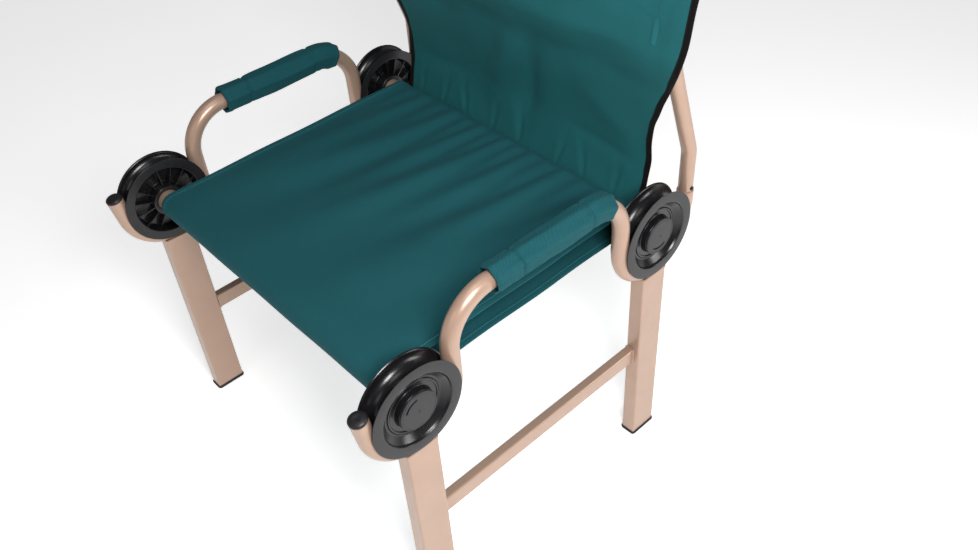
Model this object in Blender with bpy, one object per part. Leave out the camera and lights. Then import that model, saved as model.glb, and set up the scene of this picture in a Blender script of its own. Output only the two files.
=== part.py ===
"""Camp chair: two bent-tube side frames, joined only by two rollers whose grooved end discs sit in
round cradles of the side tubes. A fabric loop round the rollers is the seat; the back panel hangs
from two dog-leg posts that sleeve onto the rear ends of the side tubes.

Frame: +Z up, the sitter faces -Y, +X is the sitter's left. The origin is on the ground below the
middle of the chair's box. Lengths are metres, angles in helper calls are degrees.
"""
import math

import bmesh
import bpy
from mathutils import Vector

# ---------------------------------------------------------------- driving dimensions
AXLE_X = 0.307              # middle of each disc and side frame, left and right of the centre
AXLE_SPACING = 0.450        # front roller to rear roller
AXLE_Z = 0.428              # roller axes above the ground
FRONT_Y = -0.2247           # front roller axis
REAR_Y = FRONT_Y + AXLE_SPACING
CLEAR = 0.0003              # gap between pieces that touch

TUBE_R = 0.0125             # 25 mm round tube
TUBE_WALL = 0.0015
CRADLE_R = 0.068            # tube centre line round each disc
BEND_R = 0.067              # tube centre line at both ends of the armrest
ARM_RISE = 0.110            # armrest centre line above the roller axes
FLARE = 9.0                 # outward lean of the open cradle ends
TIP_RISE = 0.0315           # front tube end above the roller axis
JOINT_RISE = 0.036          # post joint above the roller axis
NECK_R = 0.0092             # swaged neck that carries the post
NECK_BORE = 0.0077
NECK_LENGTH = 0.036
ARC_STEP = 14.0             # degrees between rings on a bend
TUBE_SIDES = 12

LEG_DEPTH, LEG_WIDTH, LEG_WALL = 0.050, 0.025, 0.0015      # along Y, along X
LEG_TOP_BELOW_CRADLE = 0.006
FOOT_FLANGE, FOOT_LIP, FOOT_PLUG = 0.005, 0.002, 0.016
RAIL_WIDTH, RAIL_HEIGHT, RAIL_WALL = 0.015, 0.028, 0.0015
RAIL_INSET = 0.005          # rail centre towards the inside, from the leg's centre
RAIL_DROP = 0.240           # rail centre below the roller axes

POLE_R, POLE_WALL = 0.0175, 0.0015
DISC_R, DISC_HALF = 0.070, 0.016
GROOVE_R = 0.0136
HUB_R, HUB_FACE = 0.0285, 0.0142
SOCKET_R = 0.0245
DISC_STEPS = 24

SLING_INNER, SLING_THICK, SLING_HALF = 0.0184, 0.0023, 0.268

POST_R, POST_WALL = 0.011, 0.0015
POST_LEAN, POST_RECLINE = 19.0, 13.0
POST_BEND_R = 0.050
POST_KINK_RISE = (0.104, 0.258)      # the two bends, above the roller axes
POST_TOP_RISE = 0.447

BUTTON_R, BUTTON_PROUD = 0.0030, 0.0025
BUTTON_RISE = 0.042

PAD_R, PAD_INNER = 0.0205, 0.0129
PAD_START = 0.137           # pad's front end behind the front roller
PAD_WRAP_STEPS = 2          # steps of the rear bend that the pad reaches round

BACK_THICK = 0.002
BACK_OFFSET = 0.0140        # panel's middle in front of the post's centre line
SLEEVE_R, SLEEVE_INNER = 0.0126, 0.0113
SLEEVE_START = 0.020        # along the post, above its upper bend
BINDING_WIDTH, BINDING_THICK = 0.010, 0.003
# slack lower part of the back: (height above the roller axes, distance behind the rear axis, half width)
BACK_SLACK = ((0.040, 0.032, 0.268), (0.085, 0.038, 0.2695), (0.125, 0.0355, 0.2705),
              (0.150, 0.032, 0.2760), (0.180, 0.0275, 0.289), (0.210, 0.0225, 0.3020),
              (0.240, 0.0122, 0.3180))
BACK_FOOT_HALF = 0.268      # half width where the back meets the seat
BACK_TOP_HALF = 0.3315      # half width over the posts, bindings included

SIDES = {"left": 1, "right": -1}
ENDS = {"front": FRONT_Y, "rear": REAR_Y}

for old in list(bpy.data.objects):
    bpy.data.objects.remove(old, do_unlink=True)


# ---------------------------------------------------------------- materials
def material(name, color, roughness, metallic=0.0):
    mat = bpy.data.materials.new(name)
    mat.use_nodes = True
    shader = mat.node_tree.nodes["Principled BSDF"]
    shader.inputs["Base Color"].default_value = (*color, 1.0)
    shader.inputs["Roughness"].default_value = roughness
    shader.inputs["Metallic"].default_value = metallic
    return mat


TAN_PAINT = material("tan_paint", (0.62, 0.46, 0.36), 0.38, 0.25)
BLACK_PLASTIC = material("black_plastic", (0.020, 0.019, 0.021), 0.32)
BLACK_RUBBER = material("black_rubber", (0.025, 0.024, 0.026), 0.65)
TEAL_FABRIC = material("teal_fabric", (0.012, 0.105, 0.110), 0.80)
BLACK_BINDING = material("black_binding", (0.015, 0.014, 0.016), 0.75)
BARE_STEEL = material("bare_steel", (0.55, 0.55, 0.56), 0.30, 1.0)


# ---------------------------------------------------------------- shape helpers
def add_object(name, mesh, mat, location=(0.0, 0.0, 0.0), parent=None, sharp=35.0):
    mesh.shade_smooth()
    mesh.set_sharp_from_angle(angle=math.radians(sharp))
    mesh.materials.append(mat)
    obj = bpy.data.objects.new(name, mesh)
    bpy.context.scene.collection.objects.link(obj)
    obj.location = location
    obj.parent = parent
    return obj


def mesh_from(bm, name):
    bmesh.ops.recalc_face_normals(bm, faces=bm.faces[:])
    mesh = bpy.data.meshes.new(name)
    bm.to_mesh(mesh)
    bm.free()
    return mesh


def arc(cy, cz, radius, start, end, steps=None):
    """Points (y, z) of an arc, from one angle to another, measured from +Y towards +Z."""
    steps = steps or max(1, round(abs(end - start) / ARC_STEP))
    angles = [math.radians(start + (end - start) * i / steps) for i in range(steps + 1)]
    return [(cy + radius * math.cos(a), cz + radius * math.sin(a)) for a in angles]


def rings_along(bm, stations, x, sides):
    """One ring of `sides` points at each station (y, z, radius), square to the path."""
    rings = []
    for i, (y, z, radius) in enumerate(stations):
        before = next((s for s in reversed(stations[:i]) if math.dist(s[:2], (y, z)) > 1e-5), None)
        after = next((s for s in stations[i + 1:] if math.dist(s[:2], (y, z)) > 1e-5), None)
        steps = [Vector((b[0] - a[0], b[1] - a[1])).normalized()
                 for a, b in ((before, (y, z)), ((y, z), after)) if a and b]
        along = sum(steps, Vector((0.0, 0.0))).normalized()
        reach = radius / max(0.5, along.dot(steps[0]))      # keeps the tube's width on a mitre
        ring = []
        for k in range(sides):
            turn = 2 * math.pi * k / sides
            out = math.sin(turn) * reach
            ring.append(bm.verts.new((x + math.cos(turn) * radius, y - along.y * out, z + along.x * out)))
        rings.append(ring)
    return rings


def skin(bm, rings):
    for ring, following in zip(rings, rings[1:]):
        count = len(ring)
        for k in range(count):
            nxt = (k + 1) % count
            bm.faces.new((ring[k], ring[nxt], following[nxt], following[k]))


def hollow_tube(name, outer, inner, x, mat, sides=TUBE_SIDES):
    """A tube along stations (y, z, radius): outer and inner walls with the same end points."""
    bm = bmesh.new()
    walls = [rings_along(bm, stations, x, sides) for stations in (outer, inner)]
    for rings in walls:
        skin(bm, rings)
    for end in (0, -1):
        for k in range(sides):
            nxt = (k + 1) % sides
            bm.faces.new((walls[0][end][k], walls[0][end][nxt], walls[1][end][nxt], walls[1][end][k]))
    return add_object(name, mesh_from(bm, name), mat)


def solid_rod(name, stations, x, mat, sides=TUBE_SIDES):
    bm = bmesh.new()
    rings = rings_along(bm, stations, x, sides)
    skin(bm, rings)
    for end in (0, -1):
        bm.faces.new(rings[end])
    return add_object(name, mesh_from(bm, name), mat)


def with_radius(points, radius):
    return [(y, z, radius) for y, z in points]


def turned(name, profile, mat, steps, location=(0.0, 0.0, 0.0), parent=None, flip=False):
    """A closed profile of (radius, x) points spun about the X axis."""
    bm = bmesh.new()
    verts = [bm.verts.new((-x if flip else x, 0.0, radius)) for radius, x in profile]
    loop = list(zip(verts, verts[1:]))
    on_axis = profile[0][0] == 0.0 and profile[-1][0] == 0.0
    if not on_axis:
        loop.append((verts[-1], verts[0]))
    edges = [bm.edges.new(pair) for pair in loop]
    bmesh.ops.spin(bm, geom=edges + verts, cent=(0, 0, 0), axis=(1, 0, 0), angle=2 * math.pi,
                   steps=steps, use_merge=True, use_duplicate=False)
    bmesh.ops.remove_doubles(bm, verts=bm.verts[:], dist=1e-6)
    return add_object(name, mesh_from(bm, name), mat, location, parent)


def box(bm, low, high):
    corners = [(x, y, z) for x in (low[0], high[0]) for y in (low[1], high[1]) for z in (low[2], high[2])]
    v = [bm.verts.new(c) for c in corners]
    for quad in ((0, 1, 3, 2), (4, 6, 7, 5), (0, 4, 5, 1), (2, 3, 7, 6), (0, 2, 6, 4), (1, 5, 7, 3)):
        bm.faces.new([v[i] for i in quad])
    return v


def rectangular_tube(name, centre, size, wall, axis, mat):
    """A box section with a wall, open at both ends of its long axis (0, 1 or 2)."""
    bm = bmesh.new()
    loops = []
    across = [i for i in range(3) if i != axis]
    for inset in (0.0, wall):
        for end in (-0.5, 0.5):
            loop = []
            for u, v in ((-1, -1), (1, -1), (1, 1), (-1, 1)):
                point = [0.0, 0.0, 0.0]
                point[axis] = size[axis] * end
                point[across[0]] = u * (size[across[0]] / 2 - inset)
                point[across[1]] = v * (size[across[1]] / 2 - inset)
                loop.append(bm.verts.new(point))
            loops.append(loop)
    for a, b in ((0, 1), (2, 3), (0, 2), (1, 3)):
        for k in range(4):
            nxt = (k + 1) % 4
            bm.faces.new((loops[a][k], loops[a][nxt], loops[b][nxt], loops[b][k]))
    return add_object(name, mesh_from(bm, name), mat, centre)


def sheet(name, rows, thickness, mat, closed=False, offset=0.0):
    """A grid of point rows, given its thickness by Solidify. A closed one joins its last row to its first."""
    bm = bmesh.new()
    grid = [[bm.verts.new(point) for point in row] for row in rows]
    if closed:
        grid.append(grid[0])
    for row, following in zip(grid, grid[1:]):
        for k in range(len(row) - 1):
            bm.faces.new((row[k], row[k + 1], following[k + 1], following[k]))
    obj = add_object(name, mesh_from(bm, name), mat)
    thicken = obj.modifiers.new("thickness", "SOLIDIFY")
    thicken.thickness = thickness
    thicken.offset = offset
    thicken.use_even_offset = True
    return obj


def cut(obj, cutter):
    cutter.hide_render = True
    cutter.display_type = "WIRE"
    boolean = obj.modifiers.new("cut", "BOOLEAN")
    boolean.operation = "DIFFERENCE"
    boolean.solver = "EXACT"
    boolean.object = cutter


def empty(name, location):
    axis = bpy.data.objects.new(name, None)
    bpy.context.scene.collection.objects.link(axis)
    axis.location = location
    return axis


# ---------------------------------------------------------------- side tubes
def flared_end(length_above_axis):
    """Offset (dy, dz) from a roller axis to the end of a cradle that leans outward by FLARE."""
    start_y = CRADLE_R * math.cos(math.radians(FLARE))
    start_z = -CRADLE_R * math.sin(math.radians(FLARE))
    return start_y + (length_above_axis - start_z) * math.tan(math.radians(FLARE)), length_above_axis


STUB_DY, STUB_BEND = flared_end(JOINT_RISE - 0.008)
STUB_Y = REAR_Y + STUB_DY
JOINT_Z = AXLE_Z + JOINT_RISE


def cradle(end):
    """Half circle of tube under a disc, as (y, z), open towards the front or towards the rear."""
    turn = (180 + FLARE, 360) if end == "front" else (180, 360 - FLARE)
    return arc(ENDS[end], AXLE_Z, CRADLE_R, *turn)


def side_tube_path():
    """Front tip, front cradle, armrest, rear cradle and the stub under the post, as (y, z)."""
    tip_y, tip_z = flared_end(TIP_RISE)
    arm_z = AXLE_Z + ARM_RISE
    front_bend_y = FRONT_Y + CRADLE_R + BEND_R
    rear_bend_y = REAR_Y - CRADLE_R - BEND_R
    path = [(FRONT_Y - tip_y, AXLE_Z + tip_z)]
    path += cradle("front")
    path += arc(front_bend_y, arm_z - BEND_R, BEND_R, 180, 90)
    path += arc(rear_bend_y, arm_z - BEND_R, BEND_R, 90, 0)
    path += cradle("rear")
    path += [(STUB_Y, AXLE_Z + STUB_BEND)]
    return path


PATH = side_tube_path()


def build_side_tubes():
    joint = (STUB_Y, JOINT_Z - CLEAR)
    neck_top = (STUB_Y, JOINT_Z + NECK_LENGTH)
    outer = with_radius(PATH + [joint], TUBE_R) + with_radius([joint, neck_top], NECK_R)
    inner = with_radius(PATH, TUBE_R - TUBE_WALL) + with_radius([joint, neck_top], NECK_BORE)
    for side, sign in SIDES.items():
        tube = hollow_tube(f"side_tube_{side}", outer, inner, sign * AXLE_X, TAN_PAINT)
        cut(tube, button_hole(f"neck_hole_{side}", sign))


def build_tip_caps():
    """Domed plug in the open front end of each side tube, turned about the tube's own direction."""
    (tip_y, tip_z), (next_y, next_z) = PATH[0], PATH[1]
    out = Vector((tip_y - next_y, tip_z - next_z)).normalized()
    steps = ((-0.014, 0.0100), (0.0003, 0.0100), (0.0003, 0.0125), (0.0032, 0.0122), (0.0050, 0.0100),
             (0.0060, 0.0055))
    stations = [(tip_y + out.x * along, tip_z + out.y * along, radius) for along, radius in steps]
    for side, sign in SIDES.items():
        solid_rod(f"tip_cap_{side}", stations, sign * AXLE_X, BLACK_PLASTIC)


# ---------------------------------------------------------------- legs, feet and rails
def build_leg(end, axle_y, side, sign):
    x = sign * AXLE_X
    top = AXLE_Z - CRADLE_R - LEG_TOP_BELOW_CRADLE
    bottom = FOOT_FLANGE + CLEAR
    leg = rectangular_tube(f"leg_{end}_{side}", (x, axle_y, (top + bottom) / 2),
                           (LEG_WIDTH, LEG_DEPTH, top - bottom), LEG_WALL, 2, TAN_PAINT)
    saddle = with_radius(cradle(end), TUBE_R + CLEAR)       # the cradle's own tube, a touch larger
    cut(leg, solid_rod(f"cope_{end}_{side}", saddle, x, TAN_PAINT))


def build_foot(end, axle_y, side, sign):
    """Black cap: a flange under the leg and a plug up inside it."""
    half = Vector((LEG_WIDTH / 2, LEG_DEPTH / 2))
    bm = bmesh.new()
    box(bm, (-half.x - FOOT_LIP, -half.y - FOOT_LIP, 0.0), (half.x + FOOT_LIP, half.y + FOOT_LIP, FOOT_FLANGE))
    bm.normal_update()
    top = max(bm.faces, key=lambda face: face.calc_center_median().z)
    bmesh.ops.recalc_face_normals(bm, faces=bm.faces[:])
    bmesh.ops.inset_region(bm, faces=[top], thickness=FOOT_LIP + LEG_WALL + CLEAR, use_even_offset=True)
    grown = bmesh.ops.extrude_face_region(bm, geom=[top])["geom"]
    lifted = [v for v in grown if isinstance(v, bmesh.types.BMVert)]
    bmesh.ops.translate(bm, verts=lifted, vec=(0.0, 0.0, FOOT_PLUG))
    bmesh.ops.delete(bm, geom=[top], context="FACES")
    add_object(f"foot_{end}_{side}", mesh_from(bm, "foot"), BLACK_RUBBER, (sign * AXLE_X, axle_y, 0.0))


def build_side_rail(side, sign):
    length = AXLE_SPACING - LEG_DEPTH - 2 * CLEAR
    centre = (sign * (AXLE_X - RAIL_INSET), (FRONT_Y + REAR_Y) / 2, AXLE_Z - RAIL_DROP)
    rectangular_tube(f"side_rail_{side}", centre, (RAIL_WIDTH, length, RAIL_HEIGHT), RAIL_WALL, 1, TAN_PAINT)


# ---------------------------------------------------------------- rollers
def disc_profile():
    """Outer face, rim, tube groove and inner dish of one disc, as (radius, x) with +x outward."""
    bore = POLE_R + CLEAR
    groove = []
    for i in range(7):
        turn = math.radians(90 - 30 * i)
        groove.append((CRADLE_R - GROOVE_R * math.cos(turn), GROOVE_R * math.sin(turn)))
    return ([(bore, HUB_FACE), (HUB_R, HUB_FACE), (HUB_R + 0.001, 0.0050), (0.0430, 0.0050),
             (0.0520, 0.0125), (0.0535, DISC_HALF), (DISC_R - 0.001, DISC_HALF), (DISC_R, DISC_HALF - 0.001)]
            + groove
            + [(DISC_R, -DISC_HALF + 0.001), (DISC_R - 0.001, -DISC_HALF), (0.0535, -DISC_HALF),
               (0.0480, 0.0010), (SOCKET_R, 0.0010), (SOCKET_R, -0.0145), (bore, -0.0145)])


def hub_cap_profile():
    """Plate over the hub with a spigot that plugs into the end of the pole."""
    spigot = POLE_R - POLE_WALL - CLEAR
    inner_face = HUB_FACE + CLEAR
    return [(0.0, -0.004), (spigot, -0.004), (spigot, inner_face), (HUB_R, inner_face),
            (HUB_R, inner_face + 0.0016), (HUB_R - 0.0008, inner_face + 0.0024), (0.0, inner_face + 0.0024)]


def build_roller(end, axle_y):
    axis = empty(f"{end}_roller_axis", (0.0, axle_y, AXLE_Z))
    reach = AXLE_X + HUB_FACE - CLEAR
    pole = [(POLE_R - POLE_WALL, -reach), (POLE_R - POLE_WALL, reach), (POLE_R, reach), (POLE_R, -reach)]
    turned(f"{end}_pole", pole, TAN_PAINT, 24, parent=axis)
    for side, sign in SIDES.items():
        place = (sign * AXLE_X, 0.0, 0.0)
        turned(f"disc_{end}_{side}", disc_profile(), BLACK_PLASTIC, DISC_STEPS, place, axis, sign < 0)
        turned(f"hub_cap_{end}_{side}", hub_cap_profile(), BLACK_PLASTIC, DISC_STEPS, place, axis, sign < 0)


# ---------------------------------------------------------------- back posts and their buttons
def post_path():
    """Centre line of a post as (y, z): upright, a lean forward, then reclined, with round bends."""
    lean, recline = math.radians(POST_LEAN), math.radians(POST_RECLINE)
    low_z, high_z = (AXLE_Z + rise for rise in POST_KINK_RISE)
    high_y = STUB_Y - (high_z - low_z) * math.tan(lean)
    top_z = AXLE_Z + POST_TOP_RISE
    low_cut = POST_BEND_R * math.tan(lean / 2)
    high_cut = POST_BEND_R * math.tan((lean + recline) / 2)
    low_centre = (STUB_Y - POST_BEND_R, low_z - low_cut)
    start = (high_y + math.sin(lean) * high_cut, high_z - math.cos(lean) * high_cut)
    high_centre = (start[0] + POST_BEND_R * math.cos(lean), start[1] + POST_BEND_R * math.sin(lean))
    path = [(STUB_Y, JOINT_Z)]
    path += arc(*low_centre, POST_BEND_R, 0, POST_LEAN, 3)
    path += arc(*high_centre, POST_BEND_R, 180 + POST_LEAN, 180 - POST_RECLINE, 4)
    path += [(high_y + (top_z - high_z) * math.tan(recline), top_z)]
    return path, (high_y, high_z)


POST_PATH, POST_KINK = post_path()
RECLINE = Vector((math.sin(math.radians(POST_RECLINE)), math.cos(math.radians(POST_RECLINE))))


def on_upper_post(distance, forward=0.0):
    """Point (y, z) a distance above the upper bend, moved forward off the post's centre line."""
    return (POST_KINK[0] + RECLINE.x * distance - RECLINE.y * forward,
            POST_KINK[1] + RECLINE.y * distance + RECLINE.x * forward)


POST_TOP = (POST_PATH[-1][1] - POST_KINK[1]) / RECLINE.y


def button_hole(name, sign):
    """Cutter for the outward-facing button hole through the wall of a post or a neck."""
    profile = [(0.0, 0.003), (BUTTON_R + 0.0004, 0.003), (BUTTON_R + 0.0004, 0.016), (0.0, 0.016)]
    return turned(name, profile, BARE_STEEL, 12, (sign * AXLE_X, STUB_Y, AXLE_Z + BUTTON_RISE), None,
                  sign < 0)


def build_post(side, sign):
    x = sign * AXLE_X
    post = hollow_tube(f"back_post_{side}", with_radius(POST_PATH, POST_R),
                       with_radius(POST_PATH, POST_R - POST_WALL), x, TAN_PAINT)
    cut(post, button_hole(f"post_hole_{side}", sign))
    plug = [(-0.014, POST_R - POST_WALL - CLEAR), (CLEAR, POST_R - POST_WALL - CLEAR), (CLEAR, POST_R),
            (0.0025, POST_R - 0.0006), (0.0040, POST_R - 0.0035)]
    stations = [(*on_upper_post(POST_TOP + along), radius) for along, radius in plug]
    solid_rod(f"post_cap_{side}", stations, x, BLACK_PLASTIC)


def build_button(side, sign):
    """Spring button: a domed pin with a collar behind the wall, on its own slide axis."""
    end = POST_R + BUTTON_PROUD
    collar = BUTTON_R + 0.0008
    profile = [(0.0, 0.0048), (collar, 0.0048), (collar, 0.0058), (BUTTON_R, 0.0058), (BUTTON_R, end - 0.001),
               (BUTTON_R - 0.0012, end), (0.0, end)]
    turned(f"post_button_{side}", profile, BLACK_PLASTIC, 12, (sign * AXLE_X, STUB_Y, AXLE_Z + BUTTON_RISE),
           None, sign < 0)
    low, high = AXLE_Z + 0.038, AXLE_Z + 0.058
    bow = [(0.0053 * math.cos(a), high + 0.0053 * math.sin(a)) for a in (math.pi * i / 6 for i in range(7))]
    line = [(-0.0053, low)] + bow[::-1] + [(0.0053, AXLE_Z + 0.0470)]
    rows = [[(sign * (AXLE_X + x), STUB_Y + y, z) for y in (-0.0018, 0.0018)] for x, z in line]
    sheet(f"button_spring_{side}", rows, 0.0006, BARE_STEEL)


# ---------------------------------------------------------------- fabric
def build_sling():
    """Seat: one closed loop round both rollers, drawn through the middle of its thickness."""
    radius = SLING_INNER + SLING_THICK / 2
    loop = arc(FRONT_Y, AXLE_Z, radius, 90, 270, 8) + arc(REAR_Y, AXLE_Z, radius, 270, 450, 8)
    rows = [[(-SLING_HALF, y, z), (SLING_HALF, y, z)] for y, z in loop]
    sheet("seat_sling", rows, SLING_THICK, TEAL_FABRIC, closed=True)


def back_outline():
    """Middle of the back panel and its half width, as (y, z, half): slack, then along the posts."""
    behind_roller = SLING_INNER + SLING_THICK + BINDING_THICK / 2 + 2 * CLEAR
    outline = [(REAR_Y + behind_roller, AXLE_Z, BACK_FOOT_HALF)]
    outline += [(REAR_Y + back, AXLE_Z + rise, half) for rise, back, half in BACK_SLACK]
    over_bend = BACK_TOP_HALF - 0.0020
    outline.append((*on_upper_post(0.004, BACK_OFFSET), over_bend))
    outline += [(*on_upper_post(along, BACK_OFFSET), BACK_TOP_HALF) for along in (0.028, POST_TOP)]
    return outline


def build_back():
    outline = back_outline()
    rows = [[(side * (half - BINDING_WIDTH - 2 * CLEAR), y, z) for side in (-1, 1)] for y, z, half in outline]
    sheet("back_panel", rows, BACK_THICK, TEAL_FABRIC)
    for side, sign in SIDES.items():
        rows = [[(sign * (half - BINDING_WIDTH), y, z), (sign * half, y, z)] for y, z, half in outline]
        sheet(f"back_binding_{side}", rows, BINDING_THICK, BLACK_BINDING)
        ends = [on_upper_post(along) for along in (SLEEVE_START, POST_TOP - 0.002)]
        hollow_tube(f"back_sleeve_{side}", with_radius(ends, SLEEVE_R), with_radius(ends, SLEEVE_INNER),
                    sign * AXLE_X, TEAL_FABRIC)


def build_arm_pads():
    """Padded sleeve on each armrest, along the same centre line as the tube."""
    arm_z = AXLE_Z + ARM_RISE
    rear_bend_y = REAR_Y - CRADLE_R - BEND_R
    line = [(FRONT_Y + PAD_START, arm_z)]
    line += arc(rear_bend_y, arm_z - BEND_R, BEND_R, 90, 0)[:PAD_WRAP_STEPS + 1]
    for side, sign in SIDES.items():
        hollow_tube(f"arm_pad_{side}", with_radius(line, PAD_R), with_radius(line, PAD_INNER),
                    sign * AXLE_X, TEAL_FABRIC)


# ---------------------------------------------------------------- the chair
build_side_tubes()
build_tip_caps()
for end_name, end_y in ENDS.items():
    build_roller(end_name, end_y)
    for side_name, side_sign in SIDES.items():
        build_leg(end_name, end_y, side_name, side_sign)
        build_foot(end_name, end_y, side_name, side_sign)
for side_name, side_sign in SIDES.items():
    build_side_rail(side_name, side_sign)
    build_post(side_name, side_sign)
    build_button(side_name, side_sign)
build_sling()
build_back()
build_arm_pads()
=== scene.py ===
"""Looks of the camp chair: fine meshes and materials round the CAD frame, with a studio and a camera.

Frame: +Z up, the sitter faces -Y, +X is the sitter's left. Lengths are metres, and angles in helper
calls are degrees. Every place comes from the frame's nodes. The sections repeat the CAD's stock sizes.
"""
import math
import random

import bmesh
import bpy
from mathutils import Matrix, Vector


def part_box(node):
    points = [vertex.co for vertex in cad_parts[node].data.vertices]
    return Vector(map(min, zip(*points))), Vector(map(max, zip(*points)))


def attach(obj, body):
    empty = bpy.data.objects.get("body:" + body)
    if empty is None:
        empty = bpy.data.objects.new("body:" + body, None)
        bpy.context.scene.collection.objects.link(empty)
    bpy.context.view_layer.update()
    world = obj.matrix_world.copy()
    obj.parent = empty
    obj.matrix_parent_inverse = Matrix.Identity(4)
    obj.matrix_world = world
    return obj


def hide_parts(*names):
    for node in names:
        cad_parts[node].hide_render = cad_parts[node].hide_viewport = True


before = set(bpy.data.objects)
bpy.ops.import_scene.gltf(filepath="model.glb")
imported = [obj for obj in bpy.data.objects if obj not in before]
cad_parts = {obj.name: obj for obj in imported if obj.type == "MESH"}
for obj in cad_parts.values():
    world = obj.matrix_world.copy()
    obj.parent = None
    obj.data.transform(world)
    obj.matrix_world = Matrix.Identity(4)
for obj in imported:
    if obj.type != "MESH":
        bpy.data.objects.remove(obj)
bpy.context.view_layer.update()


def middle(node):
    low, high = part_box(node)
    return (low + high) / 2


# ---------------------------------------------------------------- places read from the frame
AXLE_X = middle("leg_front_left").x
AXLE_Z = middle("front_pole").z
FRONT_Y = middle("front_pole").y
REAR_Y = middle("rear_pole").y
LEG_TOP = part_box("leg_front_left")[1].z
LEG_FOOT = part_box("leg_front_left")[0].z
POLE_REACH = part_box("front_pole")[1].x
SIDES = {"left": 1, "right": -1}
ENDS = {"front": FRONT_Y, "rear": REAR_Y}

# ---------------------------------------------------------------- stock sizes
CLEAR = 0.0003              # gap between pieces that touch
TUBE_R = 0.0125             # 25 mm round tube
CRADLE_R = 0.068            # tube centre line round each disc
BEND_R = 0.067              # tube centre line at both ends of the armrest
ARM_RISE = 0.110            # armrest centre line above the roller axes
FLARE = 9.0                 # outward lean of the open cradle ends
TIP_RISE = 0.0315           # open front end, above the roller axes
JOINT_RISE = 0.036          # joint between side tube and post, above the roller axes
NECK_R, NECK_LENGTH = 0.0092, 0.036
TUBE_BORE, NECK_BORE = 0.0110, 0.0077
LEG_HALF = Vector((0.0125, 0.025))
LEG_CORNER, LEG_WALL = 0.0026, 0.0015
RAIL_HALF = Vector((0.0075, 0.014))
RAIL_CORNER = 0.0026
BEAD_R = 0.0015             # weld bead
POLE_R, POLE_WALL = 0.0175, 0.0015
DISC_R, DISC_HALF = 0.070, 0.016
GROOVE_R = 0.0136
HUB_R, HUB_FACE = 0.0285, 0.0142
SOCKET_R = 0.0245
RIBS = 14                   # blades in a disc's inner dish
SEAT_LOOP_R = 0.0196        # middle of the seat fabric's thickness round a roller
SEAT_HALF, SEAT_SHIFT = 0.2715, -0.0030   # the cloth lies a little to the sitter's right
POST_R, POST_WALL = 0.011, 0.0015
POST_LEAN, POST_RECLINE = 19.0, 13.0
POST_BEND_R = 0.050
POST_KINK_RISE = (0.104, 0.258)      # the two bends, above the roller axes
BUTTON_R, BUTTON_PROUD, BUTTON_RISE = 0.0030, 0.0025, 0.042
BUTTON_HOLE_R = BUTTON_R + 0.0004
PAD_R, PAD_BORE = 0.0203, 0.0131
PAD_START, PAD_WRAP = 0.137, 30.0    # behind the front roller; degrees of the rear bend covered
PAD_SEAM = 0.045                     # cross seams, from each end of a pad
BACK_OFFSET = 0.0140        # panel's middle in front of the post's centre line
SLEEVE_R, SLEEVE_START = 0.0122, 0.020
BINDING_WIDTH, BINDING_THICK = 0.010, 0.0028
# slack lower part of the back: (height above the roller axes, distance behind the rear axis, half width)
BACK_SLACK = ((0.040, 0.032, 0.268), (0.085, 0.038, 0.2695), (0.125, 0.0355, 0.2705),
              (0.150, 0.032, 0.2760), (0.180, 0.0275, 0.289), (0.210, 0.0225, 0.3020),
              (0.240, 0.0122, 0.3180))
BACK_FOOT_BEHIND = 0.0228   # foot of the back behind the rear axis
BACK_FOOT_HALF, BACK_TOP_HALF = 0.268, 0.3315


# ---------------------------------------------------------------- material helpers
def new_material(name, color, roughness, **constants):
    """A Principled material. What is the same all over is set on the shader's own sockets."""
    mat = bpy.data.materials.new(name)
    mat.use_nodes = True
    tree = mat.node_tree
    shader = tree.nodes["Principled BSDF"]
    shader.inputs["Base Color"].default_value = (*color, 1.0)
    shader.inputs["Roughness"].default_value = roughness
    for key, value in constants.items():
        shader.inputs[key.replace("_", " ")].default_value = value
    mat.diffuse_color = (*color, 1.0)
    return mat, tree, shader


def node(tree, kind, settings=None, **inputs):
    made = tree.nodes.new(kind)
    for key, value in (settings or {}).items():
        setattr(made, key, value)
    for key, value in inputs.items():
        socket = made.inputs[key.replace("_", " ")]
        if isinstance(value, bpy.types.NodeSocket):
            tree.links.new(value, socket)
        else:
            socket.default_value = value
    return made


def maths(tree, operation, first, second=0.0):
    made = tree.nodes.new("ShaderNodeMath")
    made.operation = operation
    for socket, value in zip(made.inputs, (first, second)):
        if isinstance(value, bpy.types.NodeSocket):
            tree.links.new(value, socket)
        else:
            socket.default_value = value
    return made.outputs[0]


def noise(tree, place, scale, detail=3.0, stretch=None):
    if stretch:
        place = node(tree, "ShaderNodeMapping", None, Vector=place, Scale=stretch).outputs[0]
    return node(tree, "ShaderNodeTexNoise", None, Vector=place, Scale=scale, Detail=detail).outputs["Fac"]


def ranged(tree, value, low, high, start=0.3, end=0.7):
    made = node(tree, "ShaderNodeMapRange", {"clamp": True}, Value=value)
    for key, number in (("From Min", start), ("From Max", end), ("To Min", low), ("To Max", high)):
        made.inputs[key].default_value = number
    return made.outputs[0]


def tinted(tree, amount, first, second):
    """Colour between two colours, by an amount from 0 to 1."""
    made = node(tree, "ShaderNodeMix", {"data_type": "RGBA"})
    tree.links.new(amount, made.inputs[0])
    for socket, color in ((made.inputs[6], first), (made.inputs[7], second)):
        if isinstance(color, bpy.types.NodeSocket):
            tree.links.new(color, socket)
        else:
            socket.default_value = (*color, 1.0)
    return made.outputs[2]


def bumped(tree, shader, height, strength, distance):
    made = node(tree, "ShaderNodeBump", None, Height=height, Strength=strength, Distance=distance)
    tree.links.new(made.outputs[0], shader.inputs["Normal"])


def object_place(tree):
    return tree.nodes.new("ShaderNodeTexCoord").outputs["Object"]


def shade(color, factor):
    return tuple(channel * factor for channel in color)


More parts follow.
